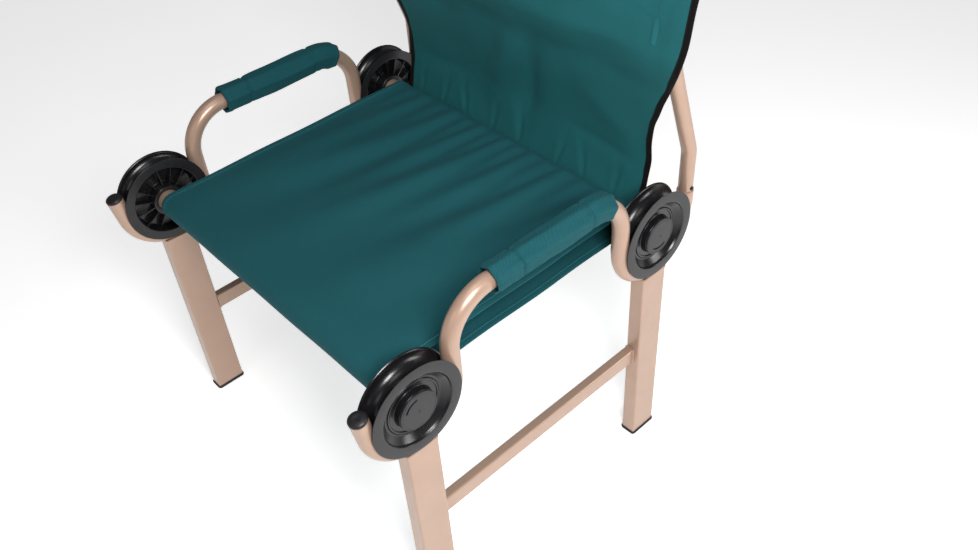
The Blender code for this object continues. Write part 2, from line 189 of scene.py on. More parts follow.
# ---------------------------------------------------------------- materials
def paint(name, color):
    """Satin powder coat: fine orange peel, cloudy gloss, and thin pale wear on the edges."""
    mat, tree, shader = new_material(name, color, 0.34, Metallic=0.28, Coat_Weight=0.10,
                                     Coat_Roughness=0.30)
    place = object_place(tree)
    cloudy = noise(tree, place, 22.0)
    body = tinted(tree, ranged(tree, cloudy, 0.0, 1.0), shade(color, 0.97), shade(color, 1.03))
    edge = node(tree, "ShaderNodeNewGeometry").outputs["Pointiness"]
    worn = maths(tree, "MULTIPLY", ranged(tree, edge, 0.0, 0.15, 0.56, 0.66),
                 ranged(tree, noise(tree, place, 140.0), 0.0, 1.0, 0.45, 0.62))
    tree.links.new(tinted(tree, worn, body, (0.74, 0.64, 0.56)), shader.inputs["Base Color"])
    tree.links.new(ranged(tree, noise(tree, place, 60.0), 0.29, 0.38), shader.inputs["Roughness"])
    bumped(tree, shader, noise(tree, place, 950.0, 2.0), 0.05, 0.0002)
    return mat


def moulded(name, color, roughness, grain, depth):
    """Moulded plastic: fine grain, faint flow marks and light scuffs."""
    mat, tree, shader = new_material(name, color, roughness, Specular_IOR_Level=0.42)
    place = object_place(tree)
    flow = noise(tree, place, 30.0, 4.0)
    scuff = ranged(tree, noise(tree, place, 90.0, 5.0, (1.0, 4.0, 0.6)), 0.0, 1.0, 0.60, 0.72)
    body = tinted(tree, ranged(tree, flow, 0.0, 1.0), shade(color, 0.85), shade(color, 1.20))
    tree.links.new(tinted(tree, maths(tree, "MULTIPLY", scuff, 0.12), body, shade(color, 4.0)),
                   shader.inputs["Base Color"])
    rough = maths(tree, "ADD", ranged(tree, flow, roughness - 0.02, roughness + 0.03),
                  maths(tree, "MULTIPLY", scuff, 0.05))
    tree.links.new(rough, shader.inputs["Roughness"])
    bumped(tree, shader, noise(tree, place, grain, 2.0), depth, 0.0003)
    return mat


def woven(name, color, pitch, twill=False, sheen=0.04, roughness=0.82):
    """Woven cloth: threads from the piece's own weave coordinates, painted darker in the gaps between them
    as painted shade and lighter on their crests as painted highlight, with slubs and cloudy dye.
    """
    mat, tree, shader = new_material(name, color, roughness, Sheen_Weight=sheen, Sheen_Roughness=0.45,
                                     Sheen_Tint=(0.30, 0.80, 0.85, 1.0), Specular_IOR_Level=0.15)
    weave = node(tree, "ShaderNodeAttribute", {"attribute_name": "weave"}).outputs["Vector"]
    split = node(tree, "ShaderNodeSeparateXYZ", None, Vector=weave)
    across, along = split.outputs[0], split.outputs[1]
    turns = 2 * math.pi / pitch
    warp = maths(tree, "SINE", maths(tree, "MULTIPLY", across, turns))
    if twill:
        diagonal = maths(tree, "ADD", across, along)
        weft = maths(tree, "SINE", maths(tree, "MULTIPLY", diagonal, turns / 3.0))
        height = maths(tree, "ADD", maths(tree, "MULTIPLY", weft, 0.42),
                       maths(tree, "MULTIPLY", warp, 0.08))
    else:
        weft = maths(tree, "SINE", maths(tree, "MULTIPLY", along, turns))
        height = maths(tree, "MULTIPLY", maths(tree, "MULTIPLY", warp, weft), 0.5)
    height = maths(tree, "ADD", height, 0.5)
    slub = maths(tree, "ADD", noise(tree, weave, 1.0, 2.0, (90.0, 1600.0, 1.0)),
                 noise(tree, weave, 1.0, 2.0, (1600.0, 90.0, 1.0)))
    cloudy = noise(tree, object_place(tree), 9.0, 4.0)
    # thread pattern: gaps painted darker as painted shade, crests painted lighter as painted highlight,
    # strongest on the twill
    low, high = (0.40, 1.55) if twill else (0.75, 1.20)
    threads_with_painted_shade = tinted(tree, height, shade(color, low), shade(color, high))
    dyed = tinted(tree, ranged(tree, cloudy, 0.0, 0.30), threads_with_painted_shade, shade(color, 1.30))
    pale = ranged(tree, slub, 0.0, 0.30, 0.95, 1.35)
    tree.links.new(tinted(tree, pale, dyed, shade(color, 1.75)), shader.inputs["Base Color"])
    tree.links.new(ranged(tree, slub, roughness - 0.06, roughness + 0.08, 0.8, 1.2),
                   shader.inputs["Roughness"])
    relief = maths(tree, "ADD", height, maths(tree, "MULTIPLY", slub, 0.6))
    bumped(tree, shader, relief, 0.60 if twill else 0.35, pitch * (0.60 if twill else 0.35))
    return mat


def ribbed(name, color):
    """Grosgrain tape: cross ribs every 1.3 mm over a fine weave, with painted shade in the grooves and
    painted highlight on the crests.
    """
    mat, tree, shader = new_material(name, color, 0.72, Sheen_Weight=0.02, Specular_IOR_Level=0.12)
    weave = node(tree, "ShaderNodeAttribute", {"attribute_name": "weave"}).outputs["Vector"]
    split = node(tree, "ShaderNodeSeparateXYZ", None, Vector=weave)
    rib = maths(tree, "SINE", maths(tree, "MULTIPLY", split.outputs[1], 2 * math.pi / 0.0013))
    fine = maths(tree, "SINE", maths(tree, "MULTIPLY", split.outputs[0], 2 * math.pi / 0.0005))
    height = maths(tree, "ADD", maths(tree, "MULTIPLY", rib, 0.35), maths(tree, "MULTIPLY", fine, 0.15))
    height = maths(tree, "ADD", height, 0.5)
    lint = ranged(tree, noise(tree, object_place(tree), 260.0, 3.0), 0.0, 0.5, 0.62, 0.75)
    # rib grooves painted darker as painted shade, rib crests painted lighter as painted highlight
    body = tinted(tree, height, shade(color, 0.70), shade(color, 1.35))
    tree.links.new(tinted(tree, lint, body, shade(color, 3.0)), shader.inputs["Base Color"])
    tree.links.new(ranged(tree, height, 0.80, 0.64, 0.0, 1.0), shader.inputs["Roughness"])
    bumped(tree, shader, height, 0.45, 0.0004)
    return mat


def metal(name, color, roughness):
    mat, tree, shader = new_material(name, color, roughness, Metallic=1.0)
    place = object_place(tree)
    drawn = noise(tree, place, 400.0, 3.0, (1.0, 1.0, 0.05))
    tree.links.new(tinted(tree, drawn, shade(color, 0.80), shade(color, 1.10)), shader.inputs["Base Color"])
    tree.links.new(ranged(tree, drawn, roughness - 0.08, roughness + 0.12), shader.inputs["Roughness"])
    bumped(tree, shader, drawn, 0.08, 0.0002)
    return mat


TAN_PAINT = paint("tan_satin_paint", (0.425, 0.280, 0.208))
GLOSS_PLASTIC = moulded("black_plastic_smooth", (0.0060, 0.0056, 0.0066), 0.25, 1400.0, 0.03)
SATIN_PLASTIC = moulded("black_plastic_satin", (0.0105, 0.0098, 0.0112), 0.42, 1500.0, 0.30)
RUBBER = moulded("black_rubber_grained", (0.018, 0.0172, 0.0185), 0.60, 1500.0, 0.25)
SEAT_CLOTH = woven("seat_cloth", (0.0095, 0.0740, 0.0860), 0.00065)
BACK_CLOTH = woven("back_cloth", (0.0108, 0.0950, 0.1030), 0.00065)
PAD_CLOTH = woven("pad_twill", (0.0082, 0.0690, 0.0810), 0.00080, twill=True)
TAPE = ribbed("binding_tape", (0.0035, 0.0032, 0.0037))
TEAL_THREAD = woven("seam_thread", (0.0500, 0.2100, 0.2300), 0.00035, twill=True, roughness=0.60)
DARK_THREAD = woven("back_thread", (0.0160, 0.1000, 0.1100), 0.00035, twill=True, roughness=0.60)
BLACK_THREAD = ribbed("binding_thread", (0.0160, 0.0150, 0.0165))
STEEL = metal("spring_steel", (0.55, 0.55, 0.56), 0.30)


# ---------------------------------------------------------------- mesh helpers
def arc(cy, cz, radius, start, end, step=4.0):
    """Points (y, z) of an arc, from one angle to another, measured from +Y towards +Z."""
    steps = max(2, round(abs(end - start) / step))
    angles = [math.radians(start + (end - start) * i / steps) for i in range(steps + 1)]
    return [(cy + radius * math.cos(a), cz + radius * math.sin(a)) for a in angles]


def flat_vector(x, points):
    return [Vector((x, y, z)) for y, z in points]


def directions(points):
    """Unit direction of a path at each of its points. Points that coincide share one."""
    found = []
    for i, point in enumerate(points):
        before = next((q for q in reversed(points[:i]) if (point - q).length > 1e-5), None)
        after = next((q for q in points[i + 1:] if (q - point).length > 1e-5), None)
        total = Vector()
        if before is not None:
            total += (point - before).normalized()
        if after is not None:
            total += (after - point).normalized()
        found.append(total.normalized())
    return found


def rings_round(points, radii, sides, up=Vector((1.0, 0.0, 0.0))):
    """Circles of `sides` points round a path, one at each point."""
    rings = []
    for point, along, radius in zip(points, directions(points), radii):
        side = (up - along * up.dot(along)).normalized()
        other = along.cross(side)
        turns = [2 * math.pi * k / sides for k in range(sides)]
        rings.append([point + radius * (math.cos(t) * side + math.sin(t) * other) for t in turns])
    return rings


def ring_about(point, radius, first, second, steps):
    """A circle of points in the plane of two directions."""
    turns = [2 * math.pi * k / steps for k in range(steps)]
    return [point + radius * (math.cos(t) * first + math.sin(t) * second) for t in turns]


def loft(bm, rings, closed=False):
    """Skin closed rings of equal, even counts, and cap the ends unless the path closes on itself.

    The layer `weave` keeps each point's place on the surface: metres round the ring, and along the path.
    """
    layer = bm.verts.layers.float_vector.get("weave") or bm.verts.layers.float_vector.new("weave")
    count, travelled, grid = len(rings[0]), 0.0, []
    for i, ring in enumerate(rings):
        if i:
            travelled += sum((ring[k] - rings[i - 1][k]).length for k in (0, count // 2)) / 2
        round_ring, row = 0.0, []
        for k, point in enumerate(ring):
            if k:
                round_ring += (point - ring[k - 1]).length
            vert = bm.verts.new(point)
            vert[layer] = (round_ring, travelled, 0.0)
            row.append(vert)
        grid.append(row)
    pairs = list(zip(grid, grid[1:]))
    if closed:
        pairs.append((grid[-1], grid[0]))
    for row, following in pairs:
        for k in range(count):
            nxt = (k + 1) % count
            bm.faces.new((row[k], row[nxt], following[nxt], following[k]))
    if not closed:
        for row in (grid[0], grid[-1]):
            for k in range(count // 2 - 1):
                bm.faces.new((row[k], row[k + 1], row[count - 2 - k], row[count - 1 - k]))
    return grid


def rounded_rectangle(half_x, half_y, corner, steps=6):
    """Points (x, y) round a rectangle with round corners, with points along its sides too."""
    points = []
    for cx, cy, start in ((1, 1, 0), (-1, 1, 90), (-1, -1, 180), (1, -1, 270)):
        for i in range(steps + 1):
            a = math.radians(start + 90 * i / steps)
            points.append((cx * (half_x - corner) + corner * math.cos(a),
                           cy * (half_y - corner) + corner * math.sin(a)))
    filled = []
    for here, there in zip(points, points[1:] + points[:1]):
        gap = math.dist(here, there)
        pieces = max(1, 2 * round(gap / 0.006)) if gap > 0.004 else 1
        filled += [(here[0] + (there[0] - here[0]) * i / pieces, here[1] + (there[1] - here[1]) * i / pieces)
                   for i in range(pieces)]
    return filled


def softened(loop, radius, steps=3):
    """A closed outline (r, x) with its sharp corners rounded, as far as the edges beside them allow."""
    points = []
    for before, corner, after in zip(loop[-1:] + loop[:-1], loop, loop[1:] + loop[:1]):
        a, p, b = Vector(before), Vector(corner), Vector(after)
        into, out = p - a, b - p
        if into.angle(out, 0.0) < math.radians(20):
            points.append(corner)
            continue
        start = p - into.normalized() * min(radius, into.length * 0.45)
        end = p + out.normalized() * min(radius, out.length * 0.45)
        for i in range(steps + 1):
            t = i / steps
            points.append(tuple(start * (1 - t) ** 2 + p * 2 * t * (1 - t) + end * t * t))
    return points


def turn_profile(bm, profile, centre, sign, steps, dent=None):
    """Spin a closed outline of (radius, x) about the X axis through centre. sign mirrors it.

    dent(radius, x, angle) moves a point along the axis. A radius of 0 closes on a single point.
    """
    rings = []
    for radius, x in profile:
        if radius < 1e-7:
            rings.append([bm.verts.new(centre + Vector((sign * x, 0.0, 0.0)))])
            continue
        ring = []
        for k in range(steps):
            turn = 2 * math.pi * k / steps
            off = dent(radius, x, math.degrees(turn)) if dent else 0.0
            place = Vector((sign * (x + off), radius * math.cos(turn), radius * math.sin(turn)))
            ring.append(bm.verts.new(centre + place))
        rings.append(ring)
    following = rings[1:] + rings[:1]
    for ring, nxt in zip(rings, following):
        if len(ring) == 1 and len(nxt) == 1:
            continue
        for k in range(steps):
            j = (k + 1) % steps
            corners = [ring[k], ring[j], nxt[j], nxt[k]] if len(ring) > 1 and len(nxt) > 1 else (
                [ring[0], nxt[j], nxt[k]] if len(ring) == 1 else [ring[k], ring[j], nxt[0]])
            bm.faces.new(corners)


def finish_piece(name, bm, mat, body, replaces=(), sharp=35.0):
    bmesh.ops.recalc_face_normals(bm, faces=bm.faces[:])
    mesh = bpy.data.meshes.new(name)
    bm.to_mesh(mesh)
    bm.free()
    mesh.shade_smooth()
    mesh.set_sharp_from_angle(angle=math.radians(sharp))
    mesh.materials.append(mat)
    obj = bpy.data.objects.new(name, mesh)
    bpy.context.scene.collection.objects.link(obj)
    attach(obj, body)
    if replaces:
        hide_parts(*replaces)
    return obj


def ramp(value, start, end):
    """0 before start, 1 after end, smooth between."""
    t = min(1.0, max(0.0, (value - start) / (end - start)))
    return t * t * (3 - 2 * t)


def bell(value, width):
    return math.exp(-(value / width) ** 2)


# ---------------------------------------------------------------- side tubes
def flared_end(length_above_axis):
    """Offset (dy, dz) from a roller axis to the end of a cradle that leans outward by FLARE."""
    start_y = CRADLE_R * math.cos(math.radians(FLARE))
    start_z = -CRADLE_R * math.sin(math.radians(FLARE))
    return start_y + (length_above_axis - start_z) * math.tan(math.radians(FLARE)), length_above_axis


STUB_DY, STUB_BEND = flared_end(JOINT_RISE - 0.008)
STUB_Y = REAR_Y + STUB_DY
JOINT_Z = AXLE_Z + JOINT_RISE
ARM_Z = AXLE_Z + ARM_RISE
REAR_BEND_Y = REAR_Y - CRADLE_R - BEND_R


def side_tube_path():
    """Front tip, front cradle, armrest, rear cradle and the stub under the post, as (y, z)."""
    tip_y, tip_z = flared_end(TIP_RISE)
    path = [(FRONT_Y - tip_y, AXLE_Z + tip_z)]
    path += arc(FRONT_Y, AXLE_Z, CRADLE_R, 180 + FLARE, 360)
    path += arc(FRONT_Y + CRADLE_R + BEND_R, ARM_Z - BEND_R, BEND_R, 180, 90)
    path += arc(REAR_BEND_Y, ARM_Z - BEND_R, BEND_R, 90, 0)
    path += arc(REAR_Y, AXLE_Z, CRADLE_R, 180, 360 - FLARE)
    path += arc(STUB_Y - 0.090, AXLE_Z + STUB_BEND - 0.0062, 0.090, -FLARE + 4, 0)
    return path


PATH = side_tube_path()


def drill_for_button(piece, sign):
    """Cut the round hole that a post button slides in, through the outward wall of a tube."""
    bm = bmesh.new()
    within, beyond = 0.0050, 0.0160      # from inside the neck's bore to outside the post
    outline = [(0.0, within), (BUTTON_HOLE_R, within), (BUTTON_HOLE_R, beyond), (0.0, beyond)]
    turn_profile(bm, outline, Vector((sign * AXLE_X, STUB_Y, AXLE_Z + BUTTON_RISE)), sign, 32)
    bmesh.ops.recalc_face_normals(bm, faces=bm.faces[:])
    mesh = bpy.data.meshes.new("button_drill")
    bm.to_mesh(mesh)
    bm.free()
    drill = bpy.data.objects.new("button_drill", mesh)
    bpy.context.scene.collection.objects.link(drill)
    cut = piece.modifiers.new("button_hole", "BOOLEAN")
    cut.operation, cut.solver, cut.object = "DIFFERENCE", "EXACT", drill
    bpy.context.view_layer.update()
    drilled = bpy.data.meshes.new_from_object(piece.evaluated_get(bpy.context.evaluated_depsgraph_get()))
    piece.modifiers.clear()
    piece.data = drilled
    drilled.set_sharp_from_angle(angle=math.radians(35.0))
    bpy.data.objects.remove(drill)
    bpy.data.meshes.remove(mesh)


def build_side_tube(side, sign):
    x = sign * AXLE_X
    points = flat_vector(x, PATH)
    radii = [TUBE_R] * len(points)
    for z, radius in ((JOINT_Z - 0.0012, TUBE_R), (JOINT_Z - 0.0005, TUBE_R - 0.0003),
                      (JOINT_Z - CLEAR, TUBE_R - 0.0011), (JOINT_Z - CLEAR, NECK_R),
                      (JOINT_Z + NECK_LENGTH - 0.001, NECK_R), (JOINT_Z + NECK_LENGTH, NECK_R - 0.001)):
        points.append(Vector((x, STUB_Y, z)))
        radii.append(radius)
    bore = flat_vector(x, PATH) + [Vector((x, STUB_Y, JOINT_Z - 0.0015)),
                                   Vector((x, STUB_Y, JOINT_Z + NECK_LENGTH))]
    bore_radii = [TUBE_BORE] * len(PATH) + [NECK_BORE, NECK_BORE]
    bm = bmesh.new()
    loft(bm, rings_round(points, radii, 40) + rings_round(bore, bore_radii, 40)[::-1], closed=True)
    tube = finish_piece(f"side_tube_{side}_fine", bm, TAN_PAINT, "frame", [f"side_tube_{side}"])
    drill_for_button(tube, sign)


def build_plug(stands_for, points, outline, out, steps):
    """A round plug of rings at points along `out`, with the radii of outline's (place, radius) pairs."""
    across = Vector((1.0, 0.0, 0.0))
    other = out.cross(across)
    bm = bmesh.new()
    loft(bm, [ring_about(point, radius, across, other, steps)
              for point, (_, radius) in zip(points, outline)])
    finish_piece(f"{stands_for}_fine", bm, SATIN_PLASTIC, "frame", [stands_for])


def build_tip_cap(side, sign):
    """Domed plug with a shallow dimple, in line with the open front end of a side tube."""
    tip, following = flat_vector(sign * AXLE_X, PATH[:2])
    out = (tip - following).normalized()
    outline = ((-0.0140, 0.0100), (0.0003, 0.0100), (0.0003, 0.0122), (0.0009, 0.0127), (0.0022, 0.0127),
               (0.0034, 0.0122), (0.0045, 0.0111), (0.0054, 0.0094), (0.0059, 0.0074), (0.0060, 0.0058),
               (0.0059, 0.0044), (0.0057, 0.0030), (0.0055, 0.0016), (0.0055, 0.0006))
    points = [tip + out * along for along, _ in outline]
    build_plug(f"tip_cap_{side}", points, outline, out, 48)


# ---------------------------------------------------------------- legs, rails and feet
def saddle_z(dx, dy):
    """Height of the underside of a cradle's tube, over a point beside the leg's centre."""
    reach = CRADLE_R + math.sqrt(max(0.0, TUBE_R ** 2 - dx ** 2))
    return AXLE_Z - math.sqrt(reach ** 2 - dy ** 2)


def weld(bm, loop, seed):
    """A thin rippled bead along a closed line of points."""
    draw = random.Random(seed)
    radii = [BEAD_R * (1 + 0.16 * math.sin(1.9 * i) + draw.uniform(-0.08, 0.08)) for i in range(len(loop))]
    centre = sum(loop, Vector()) / len(loop)
    rings = []
    for i, point in enumerate(loop):
        along = (loop[(i + 1) % len(loop)] - loop[i - 1]).normalized()
        out = point - centre
        out = (out - along * out.dot(along)).normalized()
        other = along.cross(out)
        rings.append(ring_about(point, radii[i], out, other, 8))
    loft(bm, rings, closed=True)


def build_leg(end, axle_y, side, sign):
    centre = Vector((sign * AXLE_X, axle_y, 0.0))
    outline = rounded_rectangle(LEG_HALF.x, LEG_HALF.y, LEG_CORNER)
    inner = rounded_rectangle(LEG_HALF.x - LEG_WALL, LEG_HALF.y - LEG_WALL, LEG_CORNER - LEG_WALL)

    def ring(points, height):
        return [centre + Vector((x, y, height(x, y))) for x, y in points]

    def coped(x, y):
        return min(LEG_TOP, saddle_z(x, y) - CLEAR)

    bm = bmesh.new()
    loft(bm, [ring(outline, lambda x, y: LEG_FOOT), ring(outline, lambda x, y: LEG_FOOT + 0.15),
              ring(outline, lambda x, y: LEG_TOP - 0.020), ring(outline, coped),
              ring(inner, coped), ring(inner, lambda x, y: LEG_TOP - 0.022)])
    bead = [centre + Vector((x * 0.985, y * 0.99, coped(x, y))) for x, y in outline]
    weld(bm, bead, f"leg {end} {side}")
    finish_piece(f"leg_{end}_{side}_fine", bm, TAN_PAINT, "frame", [f"leg_{end}_{side}"])


def build_foot(end, axle_y, side, sign):
    """Black cap with soft edges: a flange under the leg and a plug up inside it."""
    centre = Vector((sign * AXLE_X, axle_y, 0.0))
    low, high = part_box(f"foot_{end}_{side}")
    half = (high - low) / 2
    plug = Vector((LEG_HALF.x - 0.0018, LEG_HALF.y - 0.0018))
    flange = LEG_FOOT - CLEAR
    stations = ((half.x - 0.0014, half.y - 0.0014, 0.0048, 0.0),
                (half.x - 0.0004, half.y - 0.0004, 0.0052, 0.0005),
                (half.x, half.y, 0.0054, 0.0014), (half.x, half.y, 0.0054, flange - 0.0012),
                (half.x - 0.0004, half.y - 0.0004, 0.0052, flange - 0.0003),
                (half.x - 0.0012, half.y - 0.0012, 0.0050, flange), (plug.x, plug.y, 0.0024, flange),
                (plug.x, plug.y, 0.0024, high.z - 0.002), (plug.x - 0.001, plug.y - 0.001, 0.0016, high.z))
    count = len(rounded_rectangle(half.x, half.y, 0.005))
    rings = []
    for half_x, half_y, corner, z in stations:
        outline = rounded_rectangle(half_x, half_y, corner)
        if len(outline) != count:
            raise ValueError("foot rings differ in their number of points")
        rings.append([centre + Vector((x, y, z)) for x, y in outline])
    bm = bmesh.new()
    loft(bm, rings)
    finish_piece(f"foot_{end}_{side}_fine", bm, RUBBER, "frame", [f"foot_{end}_{side}"])


def build_rail(side):
    low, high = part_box(f"side_rail_{side}")
    centre = (low + high) / 2
    outline = rounded_rectangle(RAIL_HALF.x, RAIL_HALF.y, RAIL_CORNER)
    bm = bmesh.new()
    rings = []
    for y in (low.y, low.y + 0.03, centre.y, high.y - 0.03, high.y):
        rings.append([Vector((centre.x + x, y, centre.z + z)) for x, z in outline])
    loft(bm, rings)
    for y, name in ((low.y + 0.0004, "front"), (high.y - 0.0004, "rear")):
        bead = [Vector((centre.x + x, y, centre.z + z)) for x, z in outline]
        weld(bm, bead, f"rail {name} {side}")
    finish_piece(f"side_rail_{side}_fine", bm, TAN_PAINT, "frame", [f"side_rail_{side}"])


# ---------------------------------------------------------------- rollers
def disc_outline():
    """Stepped outer face, rim, tube groove and inner dish, as (radius, x) with +x outward."""
    bore = POLE_R + CLEAR
    groove = []
    for i in range(19):
        turn = math.radians(90 - 10 * i)
        groove.append((CRADLE_R - GROOVE_R * math.cos(turn), GROOVE_R * math.sin(turn)))
    face = [(bore, HUB_FACE), (HUB_R, HUB_FACE), (HUB_R + 0.0010, 0.0052), (0.0366, 0.0050),
            (0.0372, 0.0070), (0.0398, 0.0070), (0.0405, 0.0050), (0.0432, 0.0050),
            (0.0520, 0.0128), (0.0535, DISC_HALF), (DISC_R, DISC_HALF)]
    dish = [(DISC_R, -DISC_HALF), (0.0555, -DISC_HALF), (0.0540, -0.0150),
            (0.0500, 0.0008), (SOCKET_R + 0.0006, 0.0010), (SOCKET_R, -0.0180), (bore, -0.0180)]
    return softened(face + groove + dish, 0.0011, 4)


# a rib's crest, as (radius, x)
RIB_CRESTS = ((SOCKET_R - 0.0006, -0.0128), (0.032, -0.0120), (0.042, -0.0100), (0.0525, -0.0078))


def add_ribs(bm, centre, sign):
    """Thin blades between the socket and the rim, lower towards the rim."""
    for k in range(RIBS):
        turn = 2 * math.pi * (k + 0.5) / RIBS
        out = Vector((0.0, math.cos(turn), math.sin(turn)))
        across = Vector((0.0, -math.sin(turn), math.cos(turn)))
        rows = []
        for radius, crest in RIB_CRESTS:
            section = ((-0.0013, 0.0018), (-0.0009, crest + 0.0006), (-0.0003, crest), (0.0003, crest),
                       (0.0009, crest + 0.0006), (0.0013, 0.0018))
            foot = centre + out * radius
            rows.append([foot + across * w + Vector((sign * x, 0.0, 0.0)) for w, x in section])
        loft(bm, rows)


def build_disc(end, axle_y, side, sign):
    centre = Vector((sign * AXLE_X, axle_y, AXLE_Z))
    bm = bmesh.new()
    turn_profile(bm, disc_outline(), centre, sign, 120)
    add_ribs(bm, centre, sign)
    disc = finish_piece(f"disc_{end}_{side}_fine", bm, GLOSS_PLASTIC, f"{end}_roller",
                        [f"disc_{end}_{side}"], 30.0)
    disc.data.materials.append(SATIN_PLASTIC)
    for face in disc.data.polygons:
        flat_rim = abs(face.normal.x) > 0.97 and abs(face.center.x - centre.x) > 0.0138
        face.material_index = 1 if flat_rim else 0


def build_hub_cap(end, axle_y, side, sign):
    """Plate over the hub, with an arc slit and a centre mark, and a spigot into the pole."""
    slit = (92, 158) if end == "front" else (228, 304)
    spigot = POLE_R - POLE_WALL - CLEAR
    back, front = HUB_FACE + CLEAR, HUB_FACE + CLEAR + 0.0024

    def dent(radius, x, angle):
        in_slit = 0.0184 < radius < 0.0215 and slit[0] <= angle <= slit[1]
        return -0.0018 if in_slit and x > back + 0.001 else 0.0

    outline = [(0.0, -0.004), (spigot - 0.0008, -0.004), (spigot, -0.0032), (spigot, back),
               (HUB_R - 0.0003, back), (HUB_R, back + 0.0004), (HUB_R, back + 0.0014),
               (HUB_R - 0.0003, back + 0.0020),
               (HUB_R - 0.0009, front), (0.0262, front), (0.0259, front - 0.0003), (0.0252, front - 0.0003),
               (0.0249, front), (0.0217, front), (0.0213, front), (0.0187, front), (0.0183, front),
               (0.0120, front), (0.0024, front), (0.0017, front - 0.0005), (0.0, front - 0.0006)]
    bm = bmesh.new()
    turn_profile(bm, outline, Vector((sign * AXLE_X, axle_y, AXLE_Z)), sign, 120, dent)
    finish_piece(f"hub_cap_{end}_{side}_fine", bm, SATIN_PLASTIC, f"{end}_roller",
                 [f"hub_cap_{end}_{side}"], 25.0)


def build_pole(end, axle_y):
    inner = POLE_R - POLE_WALL
    corners = [(inner, -POLE_REACH), (inner, POLE_REACH), (POLE_R, POLE_REACH), (POLE_R, -POLE_REACH)]
    outline = softened(corners, 0.0004)
    bm = bmesh.new()
    turn_profile(bm, outline, Vector((0.0, axle_y, AXLE_Z)), 1, 72)
    finish_piece(f"{end}_pole_fine", bm, TAN_PAINT, f"{end}_roller", [f"{end}_pole"])


# ---------------------------------------------------------------- back posts
def post_path():
    """Centre line of a post as (y, z): upright, a lean forward, then reclined, with round bends."""
    lean, recline = math.radians(POST_LEAN), math.radians(POST_RECLINE)
    low_z, high_z = (AXLE_Z + rise for rise in POST_KINK_RISE)
    high_y = STUB_Y - (high_z - low_z) * math.tan(lean)
    low_cut = POST_BEND_R * math.tan(lean / 2)
    high_cut = POST_BEND_R * math.tan((lean + recline) / 2)
    low_centre = (STUB_Y - POST_BEND_R, low_z - low_cut)
    start = (high_y + math.sin(lean) * high_cut, high_z - math.cos(lean) * high_cut)
    high_centre = (start[0] + POST_BEND_R * math.cos(lean), start[1] + POST_BEND_R * math.sin(lean))
    path = [(STUB_Y, JOINT_Z + 0.0010)]
    path += arc(*low_centre, POST_BEND_R, 0, POST_LEAN, 2.0)
    path += arc(*high_centre, POST_BEND_R, 180 + POST_LEAN, 180 - POST_RECLINE, 2.0)
    return path, (high_y, high_z)


POST_PATH, POST_KINK = post_path()
RECLINE = Vector((math.sin(math.radians(POST_RECLINE)), math.cos(math.radians(POST_RECLINE))))


def on_upper_post(distance, forward=0.0):
    """Point (y, z) a distance above the upper bend, moved forward off the post's centre line."""
    return (POST_KINK[0] + RECLINE.x * distance - RECLINE.y * forward,
            POST_KINK[1] + RECLINE.y * distance + RECLINE.x * forward)


POCKET_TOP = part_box("back_sleeve_left")[1].z
POCKET_REACH = 0.0126       # how far the pocket's highest edge stands off the post's centre line
POST_END = (POCKET_TOP - POCKET_REACH * RECLINE.x - POST_KINK[1]) / RECLINE.y + 0.002


def build_post(side, sign):
    x = sign * AXLE_X
    points = flat_vector(x, [(STUB_Y, JOINT_Z), (STUB_Y, JOINT_Z + 0.0003)] + POST_PATH
                         + [on_upper_post(POST_END * share) for share in (0.4, 0.7, 1.0)])
    radii = [POST_R - 0.0008, POST_R - 0.0002] + [POST_R] * (len(points) - 2)
    bore_radii = [POST_R - POST_WALL] * len(points)
    bm = bmesh.new()
    loft(bm, rings_round(points, radii, 36) + rings_round(points, bore_radii, 36)[::-1], closed=True)
    post = finish_piece(f"back_post_{side}_fine", bm, TAN_PAINT, "frame", [f"back_post_{side}"])
    drill_for_button(post, sign)
    plug = POST_R - POST_WALL - CLEAR
    outline = ((-0.0140, plug), (CLEAR, plug), (CLEAR, POST_R - 0.0002), (0.0010, POST_R),
               (0.0021, POST_R - 0.0004), (0.0031, POST_R - 0.0014), (0.0038, POST_R - 0.0032),
               (0.0040, POST_R - 0.0060), (0.0040, 0.0010))
    points = flat_vector(x, [on_upper_post(POST_END + along) for along, _ in outline])
    build_plug(f"post_cap_{side}", points, outline, (points[-1] - points[0]).normalized(), 40)


def build_button(side, sign):
    end = POST_R + BUTTON_PROUD
    collar = BUTTON_R + 0.0008
    outline = [(0.0, 0.0048), (collar, 0.0048), (collar, 0.0058), (BUTTON_R, 0.0058),
               (BUTTON_R, end - 0.0012), (BUTTON_R - 0.0004, end - 0.0006),
               (BUTTON_R - 0.0011, end - 0.0002), (0.0010, end), (0.0, end)]
    bm = bmesh.new()
    turn_profile(bm, outline, Vector((sign * AXLE_X, STUB_Y, AXLE_Z + BUTTON_RISE)), sign, 32)
    finish_piece(f"post_button_{side}_fine", bm, GLOSS_PLASTIC, f"button_{side}", [f"post_button_{side}"])


